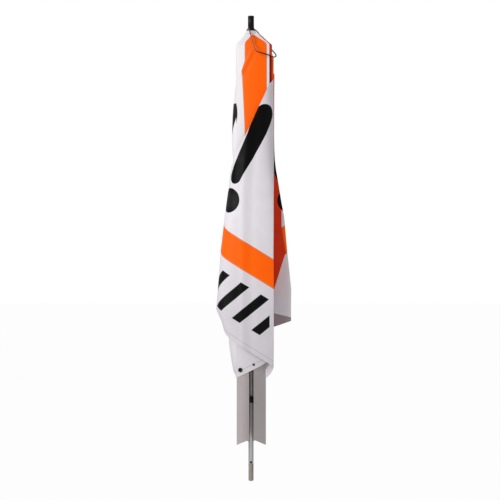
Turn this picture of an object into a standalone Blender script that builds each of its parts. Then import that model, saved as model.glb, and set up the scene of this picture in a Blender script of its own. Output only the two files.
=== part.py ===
"""Folded three-sided warning sign: a cloth pyramid on three angle-section legs that opens like an umbrella.

Metres, +Z up. The origin is the middle of the crown's top face, where the knob sits; the camera side is -Y.
Depths are measured down from the crown. An azimuth is 0 towards -Y and grows towards +X.
"""
import math

import bmesh
import bpy
from mathutils import Matrix, Vector

# Hub, knob and rod
knob_radius = 0.0059
knob_height = 0.0268
knob_dome = 0.0016
collar_radius = 0.0090
collar_height = 0.0020
hub_radius = 0.0076
hub_height = 0.0120
hub_bore_gap = 0.0004
arm_thickness = 0.0042
rod_radius = 0.0049
tube_wall = 0.0010
rod_length = 0.8357
tip_length = 0.0328
tip_chamfer = 0.0014
tip_rivet_from_end = 0.0033
tip_rivet_radius = 0.0021
plug_depth = 0.012

# Legs
leg_azimuths = {"front_left": -58.0, "front_right": 62.0, "rear": 182.0}
leg_apex_radius = 0.0325
leg_flange = 0.0245
leg_wall = 0.0016
leg_top_depth = 0.056
leg_bottom_depth = 0.798
hinge_radius = 0.0190
hinge_depth = 0.0300
eye_radius = 0.0042
eye_thickness = 0.0050
pin_radius = 0.0015
pin_gap = 0.0003
ear_thickness = 0.0016
boss_rise = 0.0002
open_angle = math.radians(31.0)
foot_cut_rise = leg_flange * math.sqrt(0.5) * math.tan(open_angle)

# Struts
strut_on_leg = 0.430
strut_open_angle = math.radians(62.0)
strut_width = 0.0070
strut_thickness = 0.0022
strut_plane = 0.0085
pivot_radius = 0.0150
ring_radius = 0.0085
ring_height = 0.0120
ring_bore_gap = 0.0003
lug_thickness = 0.0024
lug_gap = 0.0006
rivet_radius = 0.0016
rivet_head = 0.0012
bracket_height = 0.024
bracket_wall = 0.0018

# Cloth
cloth = 0.00035
cloth_gap = 0.00015
wrap_gap = {-1: 0.00045, 1: 0.00090}
hem_slant = 0.599
overlap = 0.012
neck_depth = 0.056
section_power = 3.0
front_depth = 0.0340
back_depth = 0.0560
depth_growth = 0.34
edge_x = 0.0434
tuck_point = (0.0405, -0.0100)
tuck_angle = 84.0
left_edge = ((0.003, -0.0095), (0.0077, -0.0120), (0.028, -0.0303), (0.143, -0.0305), (0.225, -0.0360),
             (0.299, -0.0434), (0.372, -0.0530), (0.419, -0.0585), (0.471, -0.0627), (0.537, -0.0680),
             (0.560, -0.0580), (0.594, -0.0485), (0.660, -0.0450))
flap_lift = 0.085
side_bow = 0.0140
side_bow_from = 0.440
side_bow_to = 0.580
right_edge = ((0.003, 0.0130), (0.0116, 0.0240), (0.021, 0.0328), (0.033, 0.0357), (0.056, 0.0455),
              (0.249, 0.0440), (0.299, 0.0530), (0.357, 0.0633), (0.426, 0.0695), (0.500, 0.0770),
              (0.660, 0.0755))
cloth_top = 0.0066
hinge_row_depth = 0.420

# White cloth cap over the crown
cap_top_radius = 0.00805
cap_radius = 0.0117
cap_drop = 0.0054

# Carrying loop and press studs
loop_cord_radius = 0.0011
band_wall = 0.0009
band_height = 0.0024
stud_thickness = 0.0010
studs = (("corner_stud", 0.008, 0.6535, 0.0042), ("hem_stud", 0.034, 0.6430, 0.0021))

black = (0.02, 0.02, 0.022, 1.0)
dark_grey = (0.10, 0.10, 0.11, 1.0)
aluminium = (0.62, 0.60, 0.60, 1.0)
steel = (0.55, 0.55, 0.56, 1.0)
beige = (0.50, 0.46, 0.42, 1.0)
orange = (0.90, 0.16, 0.01, 1.0)
white = (0.80, 0.79, 0.80, 1.0)


# Each half of a face is a chain of three strips. "rest" holds the plan corners of the folded strips. A half that
# "wraps" follows the bundle's outline from the right-hand edge instead, and "levels" says how deep it lies under
# the outline. "from_seam" holds each strip's first and last distance from its seam when the face is flat.
halves = {
    "front_left_half": {"leg": "front_left", "towards": "front_right", "wraps": 0,
                        "rest": (((-0.0281, -0.0178), (0.0350, -0.0254)), ((0.0350, -0.02605), (-0.0290, -0.0288)),
                                 ((-0.0290, -0.02945), (0.0370, -0.0302))),
                        "bow": (0.0034, 0.0, 0.0), "from_seam": ((0.0, 0.064), (0.092, 0.156), (0.186, 0.252))},
    "front_right_half": {"leg": "front_right", "towards": "front_left", "wraps": -1, "levels": (0.0, 0.0, 0.6, 1.4),
                         "from_seam": ((0.047, 0.121), (0.121, 0.195), (0.195, 0.267))},
    "right_left_half": {"leg": "front_right", "towards": "rear", "wraps": 1, "levels": (0.0, -0.5, -0.7, -0.9),
                        "from_seam": ((0.040, 0.112), (0.112, 0.184), (0.184, 0.262))},
    "right_right_half": {"leg": "rear", "towards": "front_right", "wraps": 0,
                         "rest": (((-0.0007, 0.0331), (0.0380, 0.0352)), ((0.0380, 0.03585), (-0.0250, 0.0365)),
                                  ((-0.0250, 0.03715), (0.0400, 0.0378))),
                         "bow": (0.0, 0.0, 0.0), "from_seam": ((0.0, 0.038), (0.068, 0.131), (0.166, 0.231))},
    "left_right_half": {"leg": "front_left", "towards": "rear", "wraps": 0,
                        "rest": (((-0.0281, -0.0170), (-0.0287, 0.0392)), ((-0.0287, 0.03975), (0.0380, 0.03975)),
                                 ((0.0380, 0.0404), (-0.0290, 0.0404))),
                        "bow": (0.0004, 0.0, 0.0), "from_seam": ((0.0, 0.056), (0.084, 0.150), (0.180, 0.247))},
    "left_left_half": {"leg": "rear", "towards": "front_left", "wraps": 0,
                       "rest": (((-0.0017, 0.0331), (-0.0255, 0.0330)), ((-0.0275, 0.03845), (0.0380, 0.03845)),
                                ((0.0380, 0.0391), (-0.0275, 0.0391))),
                       "bow": (0.0, 0.0, 0.0), "from_seam": ((0.0, 0.024), (0.064, 0.131), (0.170, 0.237))},
}
lead_depth = 0.1000
lead_bow = 0.0036
lead_bow_from = 0.0200
columns = 8
rows = 7
shoulder_rows = 13
shoulder_crowding = 1.8


def clear_scene():
    for item in list(bpy.data.objects):
        bpy.data.objects.remove(item, do_unlink=True)


def collection(name):
    made = bpy.data.collections.new(name)
    bpy.context.scene.collection.children.link(made)
    return made


def material(name, color, roughness, metallic=0.0):
    made = bpy.data.materials.new(name)
    made.use_nodes = True
    shader = made.node_tree.nodes["Principled BSDF"]
    shader.inputs["Base Color"].default_value = color
    shader.inputs["Roughness"].default_value = roughness
    shader.inputs["Metallic"].default_value = metallic
    return made


def outward(azimuth):
    """Unit vector in plan at an azimuth in degrees."""
    angle = math.radians(azimuth)
    return Vector((math.sin(angle), -math.cos(angle), 0.0))


def sideways(azimuth):
    """Unit vector in plan, square to outward and a quarter turn anticlockwise from it."""
    way = outward(azimuth)
    return Vector((-way.y, way.x, 0.0))


def add_mesh(name, bm, finish, target, origin=(0.0, 0.0, 0.0), smooth=None):
    """Object from a bmesh drawn in world coordinates, with its own origin at the given point."""
    origin = Vector(origin)
    bmesh.ops.translate(bm, verts=bm.verts, vec=-origin)
    mesh = bpy.data.meshes.new(name)
    bm.to_mesh(mesh)
    bm.free()
    if smooth is not None:
        mesh.shade_smooth()
        mesh.set_sharp_from_angle(angle=math.radians(smooth))
    made = bpy.data.objects.new(name, mesh)
    made.location = origin
    if finish:
        mesh.materials.append(finish)
    target.objects.link(made)
    return made


def add_box(bm, middle, size, turn=None):
    """Box of a full size about its middle, turned by an optional rotation matrix."""
    place = Matrix.Translation(Vector(middle)) @ (turn.to_4x4() if turn else Matrix())
    scale = Matrix.Diagonal(Vector((size[0], size[1], size[2], 1.0)))
    bmesh.ops.create_cube(bm, size=1.0, matrix=place @ scale)


def add_cylinder(bm, start, end, radius, segments=20, end_radius=None):
    """Capped cylinder or cone from a start point to an end point."""
    start = Vector(start)
    run = Vector(end) - start
    turn = run.to_track_quat("Z", "Y").to_matrix().to_4x4()
    place = Matrix.Translation(start + run / 2) @ turn
    far = radius if end_radius is None else end_radius
    bmesh.ops.create_cone(bm, cap_ends=True, segments=segments, radius1=radius, radius2=far, depth=run.length,
                          matrix=place)


def boolean(body, other, operation, bin_collection):
    """Exact Boolean whose second operand is kept out of the model."""
    step = body.modifiers.new(other.name, "BOOLEAN")
    step.operation = operation
    step.object = other
    step.solver = "EXACT"
    for user in list(other.users_collection):
        user.objects.unlink(other)
    bin_collection.objects.link(other)
    other.hide_render = True
    other.display_type = "WIRE"


def turned(name, profile, finish, target, steps=28, origin=(0.0, 0.0, 0.0)):
    """Solid of revolution about Z: the profile runs down its outer side, from the axis back to the axis."""
    bm = bmesh.new()
    closed = profile[0] == profile[-1]
    points = [bm.verts.new((radius, 0.0, z)) for radius, z in (profile[:-1] if closed else profile)]
    for first, second in zip(points, points[1:] + points[:1] * closed):
        bm.edges.new((first, second))
    made = add_mesh(name, bm, finish, target, origin)
    screw = made.modifiers.new("turn", "SCREW")
    screw.steps = steps
    screw.render_steps = steps
    screw.use_merge_vertices = True
    screw.merge_threshold = 0.00001
    return made


def ring_profile(outer, inner, top, bottom):
    """Closed rectangular section of a ring or tube."""
    return [(outer, top), (outer, bottom), (inner, bottom), (inner, top), (outer, top)]


def between(points, value):
    """Smooth value of a table of pairs, flat at its two ends."""
    if value <= points[0][0]:
        return points[0][1]
    for (a, low), (b, high) in zip(points, points[1:]):
        if value <= b:
            return low + (high - low) * (value - a) / (b - a)
    return points[-1][1]


# Knob, crown and rod

def make_knob(finish, target):
    top = collar_height + knob_height
    profile = [(0.0, top), (knob_radius * 0.6, top - knob_dome * 0.35), (knob_radius, top - knob_dome),
               (knob_radius, collar_height + 0.0003), (0.0, collar_height + 0.0003)]
    turned("knob", profile, finish, target, 24)


def make_collar(finish, target):
    turned("knob_collar", [(0.0, collar_height), (collar_radius, collar_height), (collar_radius, 0.0003),
                           (0.0, 0.0003)], finish, target, 24)


def make_cap(finish, target):
    """Thin cloth cone over the crown, from under the collar out to the tops of the faces."""
    half = cloth / 2
    slope = math.atan2(cap_drop, cap_radius - cap_top_radius)
    across = (half * math.sin(slope), half * math.cos(slope))
    ends = ((cap_top_radius, -0.0002), (cap_radius, -0.0002 - cap_drop))
    outer = [(radius + across[0], level + across[1]) for radius, level in ends]
    inner = [(radius - across[0], level - across[1]) for radius, level in reversed(ends)]
    turned("crown_cap", outer + inner + outer[:1], finish, target, 36)


def make_hub(finish, target, cutters):
    """Hub with three sloping arms, each forked for its leg's eye."""
    bore = rod_radius + hub_bore_gap
    hub = turned("crown_hub", ring_profile(hub_radius, bore, 0.0, -hub_height), finish, target, 28)
    for leg, azimuth in leg_azimuths.items():
        way = outward(azimuth)
        side = sideways(azimuth)
        start = way * (bore + 0.0018) + Vector((0.0, 0.0, -hub_height * 0.80))
        end = way * hinge_radius + Vector((0.0, 0.0, -hinge_depth))
        run = end - start
        spread = eye_thickness / 2 + pin_gap + ear_thickness / 2
        for sign in (-1, 1):
            bm = bmesh.new()
            turn = Matrix((run.normalized(), side, run.normalized().cross(side))).transposed()
            shift = side * spread * sign
            add_box(bm, (start + end) / 2 + shift, (run.length, ear_thickness - 2 * boss_rise, arm_thickness), turn)
            arm = add_mesh(f"arm_{leg}_{sign}", bm, finish, target)
            boolean(hub, arm, "UNION", cutters)
            bm = bmesh.new()
            add_cylinder(bm, end + shift - side * ear_thickness / 2, end + shift + side * ear_thickness / 2,
                         eye_radius, 16)
            eye = add_mesh(f"ear_{leg}_{sign}", bm, finish, target)
            boolean(hub, eye, "UNION", cutters)
        bm = bmesh.new()
        half = spread + ear_thickness
        add_cylinder(bm, end - side * half, end + side * half, pin_radius + pin_gap, 12)
        boolean(hub, add_mesh(f"pin_hole_{leg}", bm, finish, target), "DIFFERENCE", cutters)
    return hub


def make_hinge_pins(finish, target):
    half = eye_thickness / 2 + pin_gap + ear_thickness
    for leg, azimuth in leg_azimuths.items():
        bm = bmesh.new()
        middle = outward(azimuth) * hinge_radius + Vector((0.0, 0.0, -hinge_depth))
        side = sideways(azimuth)
        add_cylinder(bm, middle - side * half, middle + side * half, pin_radius, 12)
        add_mesh(f"hinge_pin_{leg}", bm, finish, target, smooth=40)


def rivet_hole(body, level, cutters):
    """Cross hole for the tip's rivet."""
    bm = bmesh.new()
    add_cylinder(bm, (0.0, -0.01, level), (0.0, 0.01, level), tip_rivet_radius + 0.0002, 14)
    boolean(body, add_mesh(f"{body.name}_rivet_hole", bm, None, cutters), "DIFFERENCE", cutters)


def make_rod(finish, target, cutters):
    rod = turned("centre_rod", ring_profile(rod_radius, rod_radius - tube_wall, 0.0, -rod_length), finish, target, 24)
    rivet_hole(rod, tip_rivet_from_end - rod_length, cutters)


def make_tip(finish, target, cutters):
    """End plug with a spigot inside the tube and a cross hole for its rivet."""
    bottom = -rod_length - tip_length
    spigot = rod_radius - tube_wall - 0.0003
    profile = [(0.0, -rod_length + plug_depth), (spigot, -rod_length + plug_depth), (spigot, -rod_length - 0.0003),
               (rod_radius, -rod_length - 0.0003), (rod_radius, bottom + tip_chamfer),
               (rod_radius - tip_chamfer, bottom), (0.0, bottom)]
    tip = turned("rod_tip", profile, finish, target, 24)
    rivet_hole(tip, tip_rivet_from_end - rod_length, cutters)


def make_tip_rivet(finish, target):
    """Cross rivet whose two ends stand just proud of the rod."""
    half = rod_radius + 0.0005
    level = tip_rivet_from_end - rod_length
    bm = bmesh.new()
    add_cylinder(bm, (0.0, -half, level), (0.0, half, level), tip_rivet_radius, 14)
    add_mesh("tip_rivet", bm, finish, target, smooth=40)


# Legs

def leg_point(azimuth, radius, side, depth):
    return outward(azimuth) * radius + sideways(azimuth) * side + Vector((0.0, 0.0, -depth))


def leg_section():
    """Corners of the angle section as (inward distance from the apex, sideways), wall to wall."""
    reach = leg_flange * math.sqrt(0.5)
    step = leg_wall * math.sqrt(0.5)
    return [(0.0, 0.0), (reach, reach), (reach + step, reach - step), (2 * step, 0.0),
            (reach + step, -reach + step), (reach, -reach)]


def make_leg(leg, azimuth, finish, target):
    """Angle-section leg with a slanted foot, lower on its outer side."""
    bm = bmesh.new()
    slope = foot_cut_rise / (leg_flange * math.sqrt(0.5))
    corners = []
    for inward, side in leg_section():
        top = leg_point(azimuth, leg_apex_radius - inward, side, leg_top_depth)
        bottom = leg_point(azimuth, leg_apex_radius - inward, side, leg_bottom_depth - inward * slope)
        corners.append((bm.verts.new(top), bm.verts.new(bottom)))
    bm.faces.new([pair[0] for pair in corners])
    bm.faces.new([pair[1] for pair in reversed(corners)])
    for first, second in zip(corners, corners[1:] + corners[:1]):
        bm.faces.new((first[1], second[1], second[0], first[0]))
    bmesh.ops.recalc_face_normals(bm, faces=bm.faces)
    add_mesh(f"leg_{leg}", bm, finish, target, leg_point(azimuth, hinge_radius, 0.0, hinge_depth))


def make_leg_top(leg, azimuth, finish, target, cutters):
    """Moulded top piece: an eye for the crown pin and a tongue that lies inside the angle section."""
    pivot = leg_point(azimuth, hinge_radius, 0.0, hinge_depth)
    side = sideways(azimuth)
    bm = bmesh.new()
    add_cylinder(bm, pivot - side * eye_thickness / 2, pivot + side * eye_thickness / 2, eye_radius, 20)
    origin = pivot
    top = add_mesh(f"leg_top_{leg}", bm, finish, target, origin, smooth=40)
    inner_apex = leg_apex_radius - 2 * leg_wall * math.sqrt(0.5) - 0.0004
    tongue_end = leg_top_depth + 0.045
    tongue_out = inner_apex - eye_thickness / 2
    turn = Matrix((outward(azimuth), side, Vector((0.0, 0.0, 1.0)))).transposed()
    bm = bmesh.new()
    add_box(bm, leg_point(azimuth, (hinge_radius - 0.003 + tongue_out) / 2, 0.0, (hinge_depth + tongue_end) / 2),
            (tongue_out - hinge_radius + 0.003, eye_thickness - 2 * boss_rise, tongue_end - hinge_depth), turn)
    boolean(top, add_mesh(f"tongue_{leg}", bm, finish, target), "UNION", cutters)
    bm = bmesh.new()
    add_cylinder(bm, pivot - side * 0.01, pivot + side * 0.01, pin_radius + pin_gap, 12)
    boolean(top, add_mesh(f"eye_hole_{leg}", bm, finish, target), "DIFFERENCE", cutters)


def strut_pivot(azimuth):
    return leg_point(azimuth, pivot_radius, strut_plane, hinge_depth + strut_on_leg)


def make_bracket(leg, azimuth, finish, target, cutters):
    """Bracket inside the leg: a wall that carries the strut's pivot, seated on one flange."""
    side = sideways(azimuth)
    pivot = strut_pivot(azimuth)
    inner = strut_plane + strut_thickness / 2 + lug_gap
    bm = bmesh.new()
    flange_side = inner + bracket_wall
    outer_radius = leg_apex_radius - 2 * leg_wall * math.sqrt(0.5) - flange_side - 0.0004
    inner_radius = pivot_radius - strut_width / 2
    turn = Matrix((outward(azimuth), side, Vector((0.0, 0.0, 1.0)))).transposed()
    middle = leg_point(azimuth, (outer_radius + inner_radius) / 2, inner + bracket_wall / 2,
                       hinge_depth + strut_on_leg)
    add_box(bm, middle, (outer_radius - inner_radius, bracket_wall, bracket_height), turn)
    bracket = add_mesh(f"strut_bracket_{leg}", bm, finish, target, middle)
    bm = bmesh.new()
    reach = 0.004
    add_cylinder(bm, pivot - side * reach, pivot + side * 2 * reach, rivet_radius + pin_gap, 12)
    boolean(bracket, add_mesh(f"bracket_hole_{leg}", bm, finish, target), "DIFFERENCE", cutters)


def strut_length():
    """Pivot to pivot, so that the open strut reaches from the leg back to the ring."""
    outward_run = strut_on_leg * math.sin(open_angle)
    drop = (hinge_radius - pivot_radius) * (1.0 - math.cos(open_angle))
    return (outward_run + drop) / math.sin(strut_open_angle)


def make_strut(leg, azimuth, finish, target, cutters):
    """Flat strut hanging beside the rod from its pivot on the leg."""
    side = sideways(azimuth)
    pivot = strut_pivot(azimuth)
    length = strut_length()
    low = pivot - Vector((0.0, 0.0, length))
    turn = Matrix((outward(azimuth), side, Vector((0.0, 0.0, 1.0)))).transposed()
    bm = bmesh.new()
    add_box(bm, (pivot + low) / 2, (strut_width - 2 * boss_rise, strut_thickness - 2 * boss_rise, length), turn)
    strut = add_mesh(f"strut_{leg}", bm, finish, target, pivot)
    half = side * strut_thickness / 2
    for point, word in ((pivot, "top"), (low, "bottom")):
        bm = bmesh.new()
        add_cylinder(bm, point - half, point + half, strut_width / 2, 20)
        boolean(strut, add_mesh(f"strut_{word}_{leg}", bm, finish, target), "UNION", cutters)
    for point, word in ((pivot, "top"), (low, "bottom")):
        bm = bmesh.new()
        add_cylinder(bm, point - side * 0.004, point + side * 0.004, rivet_radius + pin_gap, 12)
        boolean(strut, add_mesh(f"strut_{word}_hole_{leg}", bm, finish, target), "DIFFERENCE", cutters)


def make_strut_rivet(leg, azimuth, finish, target):
    """Pivot rivet through the strut and its bracket, headed on the strut's free side."""
    side = sideways(azimuth)
    pivot = strut_pivot(azimuth)
    start = pivot - side * (strut_thickness / 2 + pin_gap)
    end = pivot + side * (strut_thickness / 2 + lug_gap + bracket_wall)
    bm = bmesh.new()
    add_cylinder(bm, start - side * rivet_head, end, rivet_radius, 12)
    rivet = add_mesh(f"strut_rivet_{leg}", bm, finish, target, pivot, smooth=40)
    return rivet


def make_ring(finish, target, cutters):
    """Ring fixed on the rod, with a lug beside each strut's lower end."""
    depth = hinge_depth + strut_on_leg + strut_length()
    bore = rod_radius + ring_bore_gap
    top = -depth + ring_height / 2
    ring = turned("strut_ring", ring_profile(ring_radius, bore, top, top - ring_height), finish, target, 24)
    for leg, azimuth in leg_azimuths.items():
        turn = Matrix((outward(azimuth), sideways(azimuth), Vector((0.0, 0.0, 1.0)))).transposed()
        inner = strut_plane - strut_thickness / 2 - lug_gap - lug_thickness
        start = 0.0045
        end = pivot_radius + 0.0032
        bm = bmesh.new()
        add_box(bm, leg_point(azimuth, (start + end) / 2, inner + lug_thickness / 2, depth),
                (end - start, lug_thickness, ring_height * 0.6), turn)
        boolean(ring, add_mesh(f"lug_{leg}", bm, finish, target), "UNION", cutters)
    bm = bmesh.new()
    add_cylinder(bm, (0.0, 0.0, top + 0.01), (0.0, 0.0, top - ring_height - 0.01), bore, 24)
    boolean(ring, add_mesh("ring_bore", bm, finish, target), "DIFFERENCE", cutters)


# Cloth

def face_angle():
    """Half the apex angle of an open face, between its seam and its middle line."""
    return math.asin(math.sin(math.radians(60.0)) * math.sin(open_angle))


def section(depth):
    """Middle, half width, front half depth and back half depth of the bundle's outline."""
    left = between(left_edge, depth)
    right = between(right_edge, depth)
    half = (right - left) / 2
    widest = (between(right_edge, neck_depth) - between(left_edge, neck_depth)) / 2
    front = min(half, front_depth + (half - widest) * depth_growth)
    back = min(half * back_depth / widest, back_depth + (half - widest) * depth_growth)
    return (left + right) / 2, half, front, back


def outline_point(depth, angle, inset):
    """Point on the outline at an angle from the front, pulled in by an inset."""
    middle, half, front, back = section(depth)
    sine, cosine = math.sin(angle), math.cos(angle)
    flat = 2.0 / section_power
    x = math.copysign(abs(sine) ** flat, sine) * (half - inset)
    y = -math.copysign(abs(cosine) ** flat, cosine) * ((front if cosine > 0 else back) - inset)
    return Vector((middle + x, y))


def outline_run(depth, turn, inset, length, steps=120):
    """Point at an arc length from the right-hand edge, going left over the front (-1) or round the back (+1)."""
    middle, half, _, _ = section(depth)
    if turn < 0:
        share = min(1.0, (edge_x - middle) / (half - inset))
        angle = min(math.radians(88.0), math.asin(share ** (section_power / 2.0)))
        last = outline_point(depth, angle, inset)
    else:
        angle = math.radians(tuck_angle)
        last = Vector(tuck_point) * neck_share(depth)
    left = length
    step = math.radians(300.0) / steps
    while left > 0.0:
        angle += turn * step
        new = outline_point(depth, angle, inset)
        run = (new - last).length
        if run >= left:
            return last + (new - last) * (left / run)
        left -= run
        last = new
    return last


def neck_share(depth):
    """How far the plan is drawn in above the shoulders."""
    return min(1.0, between(left_edge, depth) / between(left_edge, neck_depth))


def right_share(depth):
    """The same for the right-hand edge, whose shoulder slopes more."""
    return min(1.0, between(right_edge, depth) / between(right_edge, neck_depth))


def strip_edges(half, number):
    first, last = halves[half]["from_seam"][number]
    return first, last


def strip_point(half, number, distance, depth):
    """World point of the folded cloth at a flat distance from the seam and a depth along it."""
    facts = halves[half]
    first, last = strip_edges(half, number)
    share = (distance - first) / (last - first)
    if facts["wraps"]:
        levels = facts["levels"]
        level = levels[number] + (levels[number + 1] - levels[number]) * share
        start = facts["from_seam"][0][0]
        spot = outline_run(depth, facts["wraps"], 0.0002 + level * 0.0020 * min(1.0, depth / 0.3),
                           distance - start)
        return Vector((spot.x, spot.y, -depth))
    begin, end = (Vector(point) for point in facts["rest"][number])
    along = end - begin
    across = Vector((-along.y, along.x)).normalized()
    if across.dot(begin + end) < 0.0:
        across = -across
    bow = facts["bow"][number]
    if half == "left_right_half" and number == 0:
        # the side's cloth bulges out to the left near its hem
        bow += side_bow * min(1.0, max(0.0, (depth - side_bow_from) / (side_bow_to - side_bow_from)))
    spot = begin + along * share + across * bow * 4.0 * share * (1.0 - share)
    spot = spot * neck_share(depth)
    return Vector((spot.x, spot.y, -depth))


def top_of_strip(half, number):
    """Depth at which the face first grows wide enough to reach this strip."""
    first = strip_edges(half, number)[0]
    lead = 0.010 if number else 0.004
    whole = number == 0 and not halves[half]["wraps"]
    return cloth_top if whole else max(cloth_top, (first + lead) / math.tan(face_angle()))


def hem_depth(distance):
    """Depth of the hem at a distance from the seam: the hem is square to the face's middle line."""
    angle = face_angle()
    return (hem_slant - distance * math.sin(angle)) / math.cos(angle)


def strip_place(half, number, u, v):
    """Flat distance and depth of a grid point: u runs across the strip and v down it."""
    first, last = strip_edges(half, number)
    wraps = halves[half]["wraps"]
    gap = wrap_gap[wraps] if wraps else cloth_gap
    first += gap if number or wraps else 0.0
    last -= gap
    top = top_of_strip(half, number)
    distance = first + (last - first) * u
    lift = flap_lift if half == "right_left_half" else 0.0
    depth = top + (hem_depth(distance) - lift - top) * v
    edge = depth * math.tan(face_angle()) + overlap * min(1.0, depth / 0.5) * (number == 2)
    whole = number == 0 and not halves[half]["wraps"]
    width = (last if whole else min(last, max(edge, first + 0.003))) - first
    return first + width * u, depth


def make_strip(half, number, finish, target):
    """One strip of a face half: a grid laid on the folded cloth and thickened."""
    bm = bmesh.new()
    down = shoulder_rows if number == 0 or halves[half]["wraps"] else rows
    bmesh.ops.create_grid(bm, x_segments=columns, y_segments=down, size=0.5)
    for point in bm.verts:
        u, v = point.co.x + 0.5, 0.5 - point.co.y
        v = v if number else v ** shoulder_crowding
        distance, depth = strip_place(half, number, u, v)
        point.co = strip_point(half, number, distance, depth)
    pivot, _ = strip_hinge(half, number)
    made = add_mesh(f"{half}_strip_{number + 1}", bm, finish, target, (pivot.x, pivot.y, -hinge_row_depth))
    shell = made.modifiers.new("cloth", "SOLIDIFY")
    shell.thickness = cloth
    shell.offset = 0.0


def make_lead(half, finish, target):
    """Cloth from the seam out to the right-hand edge, where the wrapping half's first strip begins."""
    bm = bmesh.new()
    bmesh.ops.create_grid(bm, x_segments=columns, y_segments=shoulder_rows, size=0.5)
    seam = seam_point(halves[half]["leg"])
    turn = halves[half]["wraps"]
    begin = seam + Vector((0.0, 0.0006 * turn))
    first = strip_edges(half, 0)[0]
    for point in bm.verts:
        u, v = point.co.x + 0.5, (0.5 - point.co.y) ** shoulder_crowding
        depth = cloth_top + (hem_depth(first * u) - cloth_top) * v
        fixed = max(depth, lead_depth)
        end = strip_point(half, 0, first, fixed) + Vector((-0.0006, 0.0021, 0.0) if turn < 0 else (-0.0003, 0.0, 0.0))
        end = Vector((end.x, end.y)) * min(neck_share(depth), right_share(depth))
        start = begin * neck_share(depth)
        along = end - start
        across = Vector((-along.y, along.x)).normalized() * -turn
        bow = max(0.0, min(lead_bow, (-end.y - lead_bow_from) * 0.2))
        spot = start + along * u + across * bow * 4.0 * u * (1.0 - u)
        point.co = (spot.x, spot.y, -depth)
    made = add_mesh(f"{half}_lead", bm, finish, target, (begin.x, begin.y, -hinge_row_depth))
    shell = made.modifiers.new("cloth", "SOLIDIFY")
    shell.thickness = cloth
    shell.offset = 0.0


def strip_line(half, number):
    """Plan points of a folded strip's two long edges, at the depth where the strips are measured."""
    first, last = strip_edges(half, number)
    points = (strip_point(half, number, first, hinge_row_depth), strip_point(half, number, last, hinge_row_depth))
    return tuple(Vector((point.x, point.y)) for point in points)


def seam_point(leg):
    """Plan point of the seam, just outside the leg's corner."""
    way = outward(leg_azimuths[leg])
    return Vector((way.x, way.y)) * (leg_apex_radius + 0.0006)


def flat_direction(half):
    """Plan direction of the open face from its seam, in the frame of its leg."""
    facts = halves[half]
    here, there = leg_azimuths[facts["leg"]], leg_azimuths[facts["towards"]]
    down = [outward(azimuth) * math.sin(open_angle) - Vector((0.0, 0.0, math.cos(open_angle)))
            for azimuth in (here, there)]
    back = Matrix.Rotation(open_angle, 3, sideways(here))
    normal = back @ down[0].cross(down[1])
    across = Vector((-normal.y, normal.x)).normalized()
    towards = outward(there) - outward(here)
    return across if across.dot(Vector((towards.x, towards.y))) > 0.0 else -across


def flat_move(half, number):
    """Plan turn and shift that carry a folded strip to its place in the open face, in the frame of its leg."""
    if number < 0:
        return 0.0, Vector((0.0, 0.0))
    begin, end = strip_line(half, number)
    first, last = strip_edges(half, number)
    across = flat_direction(half)
    seam = seam_point(halves[half]["leg"])
    run = end - begin
    turn = math.atan2(across.y, across.x) - math.atan2(run.y, run.x)
    target = seam + across * (first + last) / 2.0
    return turn, target - Matrix.Rotation(turn, 2) @ ((begin + end) / 2.0)


def slides_out(half, number):
    """The pleat's first strip is carried sideways by its neighbours and hardly turns."""
    return half == "front_right_half" and number == 0


def strip_slide(half):
    """Plan shift that carries the pleat's first strip to its place in the open face."""
    turn, shift = flat_move(half, 0)
    begin, end = strip_line(half, 0)
    middle = (begin + end) / 2.0
    return Matrix.Rotation(turn, 2) @ middle + shift - middle


def strip_hinge(half, number):
    """Plan point and angle of the turn that takes a strip from the piece before it to its open place."""
    if slides_out(half, number):
        return strip_line(half, number)[0], 0.0
    turn, shift = flat_move(half, number)
    before_turn, before_shift = flat_move(half, number - 1)
    if number and slides_out(half, number - 1):
        before_turn, before_shift = 0.0, strip_slide(half)
    angle = math.remainder(turn - before_turn, 2.0 * math.pi)
    move = Matrix.Rotation(-before_turn, 2) @ (shift - before_shift)
    still = Matrix.Identity(2) - Matrix.Rotation(angle, 2)
    return still.inverted() @ move, angle


def make_studs(finish, target):
    """Press studs near the lower corner of the inner front cloth, lying on its outer side."""
    for name, distance, depth, radius in studs:
        bm = bmesh.new()
        spot = strip_point("front_left_half", 0, distance, depth)
        beside = strip_point("front_left_half", 0, distance + 0.002, depth) - spot
        way = Vector((beside.y, -beside.x, 0.0)).normalized()
        start = spot + way * (cloth / 2 + 0.0004)
        add_cylinder(bm, start, start + way * stud_thickness, radius, 16)
        add_mesh(name, bm, finish, target, start, smooth=40)


def loop_route():
    """Points of the thin carrying loop, from the knob's foot over the right shoulder and back behind it."""
    return [(-0.0035, -0.0080, 0.0037), (-0.0042, -0.0112, 0.0018), (-0.0020, -0.0150, -0.0050),
            (0.0008, -0.0235, -0.0140), (0.0035, -0.0300, -0.0250), (0.0060, -0.0352, -0.0350),
            (0.0110, -0.0368, -0.0430), (0.0180, -0.0368, -0.0455), (0.0260, -0.0350, -0.0475),
            (0.0340, -0.0325, -0.0500), (0.0425, -0.0260, -0.0530), (0.0480, -0.0140, -0.0505),
            (0.0470, -0.0020, -0.0450), (0.0410, 0.0080, -0.0370), (0.0335, 0.0140, -0.0285),
            (0.0265, 0.0150, -0.0170), (0.0172, 0.0140, -0.0060), (0.0088, 0.0118, 0.0025),
            (0.0036, 0.0082, 0.0037)]


def smooth_points(points, per_span):
    """Points along a smooth curve through the given ones."""
    found = []
    ends = [points[0]] + list(points) + [points[-1]]
    vectors = [Vector(point) for point in ends]
    for index in range(1, len(vectors) - 2):
        a, b, c, d = vectors[index - 1:index + 3]
        for step in range(per_span):
            t = step / per_span
            found.append(0.5 * ((2 * b) + (c - a) * t + (2 * a - 5 * b + 4 * c - d) * t * t
                                + (3 * b - a - 3 * c + d) * t ** 3))
    found.append(vectors[-1])
    return found


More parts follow.
